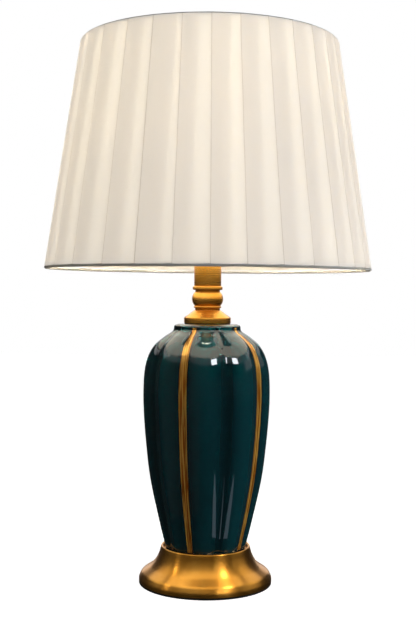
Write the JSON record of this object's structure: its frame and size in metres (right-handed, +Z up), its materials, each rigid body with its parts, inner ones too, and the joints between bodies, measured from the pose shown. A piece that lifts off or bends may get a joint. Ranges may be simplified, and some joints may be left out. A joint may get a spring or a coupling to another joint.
{
  "type": "table lamp",
  "caption": "Table lamp with a lobed glazed ceramic body, spun brass base and neck, push-bar lamp holder and a pleated tapered fabric shade.",
  "frame": {"origin": "on the table, under the lamp's axis, at the underside of the foot pad", "axes": "+Z up along the rod; the front of the picture faces -Y, the cord outlet faces +Y"},
  "size_m": [0.35, 0.35, 0.5784],
  "materials": {
    "brass": "satin lacquered",
    "teal_glaze": "gloss glaze",
    "black_rubber": "matte",
    "black_plastic": "moulded",
    "white_plastic": "moulded",
    "cast_iron": "as cast",
    "plated_steel": "zinc plated",
    "porcelain": "fired",
    "aluminium_board": "white coated",
    "opal_globe": "opal",
    "white_metal": "powder coated",
    "shade_fabric": "pleated cloth",
    "shade_trim": "rolled tape",
    "liner_film": "frosted film"
  },
  "bodies": {
    "stand": {"foot_pad": "black_rubber", "base_shell": "brass", "base_ballast": "cast_iron", "cord_bush": "black_plastic", "rod_washer": "plated_steel", "rod_nut": "plated_steel", "threaded_rod": "plated_steel", "seat_gasket": "black_rubber", "ceramic_body": "teal_glaze", "cap_washer": "black_rubber", "vase_cap": "brass", "neck_ring": "brass", "neck_ball": "brass", "neck_collar": "brass", "neck_tube": "brass", "holder_cap": "brass", "switch_block": "black_plastic", "terminal_screws": "plated_steel", "holder_skirt": "brass", "holder_core": "porcelain", "screw_shell": "brass", "centre_contact": "brass"},
    "switch": {"push_bar": "black_plastic"},
    "bulb": {"bulb_tip": "plated_steel", "bulb_insulator": "black_plastic", "bulb_cap": "plated_steel", "bulb_body": "white_plastic", "led_board": "aluminium_board", "bulb_globe": "opal_globe"},
    "retainer": {"shade_ring": "brass"},
    "shade": {"fitter_ring": "white_metal", "fitter_spokes": "white_metal", "bottom_wire": "white_metal", "bottom_hem": "shade_trim", "top_wire": "white_metal", "top_hem": "shade_trim", "pleated_fabric": "shade_fabric", "shade_liner": "liner_film"}
  },
  "joints": [
    {"name": "shade_swivel", "type": "hinge", "parent": "stand", "child": "shade", "pos_m": [0, 0, 0.3922], "axis": [0, 0, 1], "continuous": true},
    {"name": "ring_turn", "type": "hinge", "parent": "stand", "child": "retainer", "pos_m": [0, 0, 0.3967], "axis": [0, 0, 1], "range_deg": [0, 1080]},
    {"name": "switch_push", "type": "slide", "parent": "stand", "child": "switch", "axis": [-1, 0, 0], "range_m": [0, 0.006]},
    {"name": "bulb_lift", "type": "slide", "parent": "stand", "child": "bulb", "axis": [0, 0, 1], "range_m": [0, 0.2]}
  ]
}
